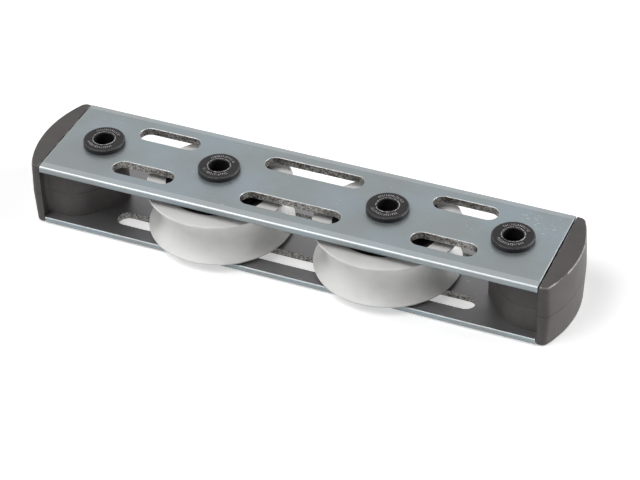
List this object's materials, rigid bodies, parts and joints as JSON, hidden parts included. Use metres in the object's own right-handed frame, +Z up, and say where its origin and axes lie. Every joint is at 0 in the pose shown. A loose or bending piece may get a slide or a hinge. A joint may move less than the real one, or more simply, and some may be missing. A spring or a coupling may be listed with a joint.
{
  "type": "deck organizer",
  "caption": "Low through-deck line organizer: slotted anodised plates held apart by moulded end caps, with grooved sheaves side by side that turn lines across a deck.",
  "frame": {"origin": "middle of the bottom plate's underside, where it lies on the deck", "axes": "+X along the plates, +Y across them from the side seen in the picture to the back, +Z up"},
  "size_m": [0.2328, 0.06, 0.032],
  "materials": {
    "anodised_plate": "matt grey anodised",
    "cap_plastic": "dark grey moulded, fine texture",
    "bush_plastic": "black moulded",
    "sheave_plastic": "white turned and moulded",
    "hub_plastic": "black moulded",
    "washer_plastic": "black, low friction",
    "sleeve_steel": "turned stainless"
  },
  "bodies": {
    "frame": {"top_plate": "anodised_plate", "bottom_plate": "anodised_plate", "left_end_cap_lower": "cap_plastic", "left_end_cap_upper": "cap_plastic", "right_end_cap_lower": "cap_plastic", "right_end_cap_upper": "cap_plastic", "left_outer_top_bush": "bush_plastic", "left_outer_bottom_bush": "bush_plastic", "left_inner_top_bush": "bush_plastic", "left_inner_bottom_bush": "bush_plastic", "right_inner_top_bush": "bush_plastic", "right_inner_bottom_bush": "bush_plastic", "right_outer_top_bush": "bush_plastic", "right_outer_bottom_bush": "bush_plastic", "left_axle_sleeve": "sleeve_steel", "left_lower_washer": "washer_plastic", "right_axle_sleeve": "sleeve_steel", "right_lower_washer": "washer_plastic"},
    "left_sheave": {"left_sheave_rim": "sheave_plastic", "left_sheave_hub": "hub_plastic", "left_upper_washer": "washer_plastic"},
    "right_sheave": {"right_sheave_rim": "sheave_plastic", "right_sheave_hub": "hub_plastic", "right_upper_washer": "washer_plastic"}
  },
  "joints": [
    {"name": "left_sheave_spin", "type": "hinge", "parent": "frame", "child": "left_sheave", "pos_m": [-0.0365, 0, 0.01378], "axis": [0, 0, 1], "continuous": true},
    {"name": "right_sheave_spin", "type": "hinge", "parent": "frame", "child": "right_sheave", "pos_m": [0.0365, 0, 0.01378], "axis": [0, 0, 1], "continuous": true}
  ]
}
